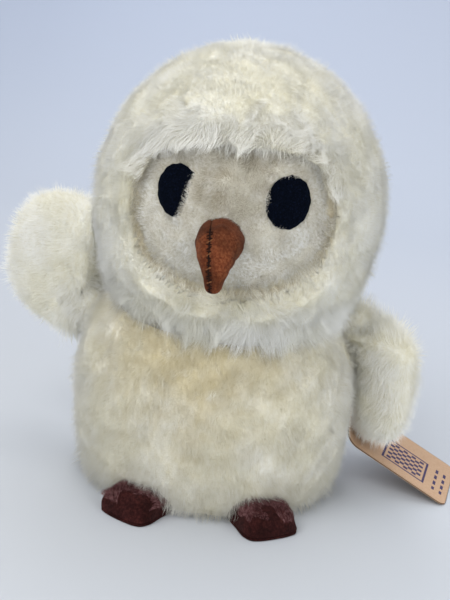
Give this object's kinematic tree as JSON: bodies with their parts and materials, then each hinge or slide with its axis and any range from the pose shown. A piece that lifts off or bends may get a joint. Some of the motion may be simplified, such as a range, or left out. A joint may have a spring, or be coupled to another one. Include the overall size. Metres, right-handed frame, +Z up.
{
  "type": "plush owl",
  "caption": "Sitting plush owl chick with a big head in a fur hood, felt eyes, a bent suede beak, fur wings, suede feet and a card swing tag.",
  "frame": {"origin": "middle of the flat base panel, on the surface that the owl sits on", "axes": "+Z up, the owl faces -Y, and its own left wing is at +X"},
  "size_m": [0.2216, 0.1342, 0.1935],
  "materials": {
    "fur": "long cream pile, fluffy and matt",
    "clipped_fur": "short clipped pile, off-white",
    "backing": "woven ground cloth, beige",
    "felt": "matt navy felt, almost black",
    "beak_suede": "brushed suede cloth, tan brown",
    "foot_suede": "brushed suede cloth, dark maroon brown",
    "filling": "loose white fibre",
    "pellet_bag": "cloth bag of pellets",
    "card": "uncoated brown kraft card",
    "tie": "clear white plastic"
  },
  "bodies": {
    "torso": {"body_cover": "fur", "body_stuffing": "filling", "base_panel": "backing", "pellet_bag": "pellet_bag", "left_foot_upper": "foot_suede", "left_foot_sole": "foot_suede", "left_foot_stuffing": "filling", "right_foot_upper": "foot_suede", "right_foot_sole": "foot_suede", "right_foot_stuffing": "filling", "tag_tie": "tie"},
    "neck": {"neck_cloth": "backing"},
    "head": {"hood": "fur", "face_panel": "clipped_fur", "head_stuffing": "filling", "left_eye": "felt", "right_eye": "felt", "beak_left_panel": "beak_suede", "beak_right_panel": "beak_suede", "beak_stuffing": "filling"},
    "left_wing": {"left_wing_cover": "fur", "left_wing_stuffing": "filling"},
    "right_wing": {"right_wing_cover": "fur", "right_wing_stuffing": "filling"},
    "tag": {"hang_tag": "card"}
  },
  "joints": [
    {"name": "head_turn", "type": "hinge", "parent": "torso", "child": "neck", "pos_m": [0.0035, 0, 0.127], "axis": [0, 0, 1], "range_deg": [-25, 25], "stiffness_Nm_per_rad": 0.05},
    {"name": "head_nod", "type": "hinge", "parent": "neck", "child": "head", "pos_m": [0.0035, 0, 0.127], "axis": [1, 0, 0], "range_deg": [-7, 7], "stiffness_Nm_per_rad": 0.15},
    {"name": "left_wing_flap", "type": "hinge", "parent": "torso", "child": "left_wing", "pos_m": [0.058, 0.008, 0.074], "axis": [0, -1, 0], "range_deg": [0, 75]},
    {"name": "right_wing_flap", "type": "hinge", "parent": "torso", "child": "right_wing", "pos_m": [-0.058, 0.008, 0.074], "axis": [0, 1, 0], "range_deg": [-20, 0]},
    {"name": "tag_swing", "type": "hinge", "parent": "torso", "child": "tag", "pos_m": [0.0643, 0.0141, 0.0316], "axis": [0, 0, 1], "range_deg": [0, 12]}
  ]
}
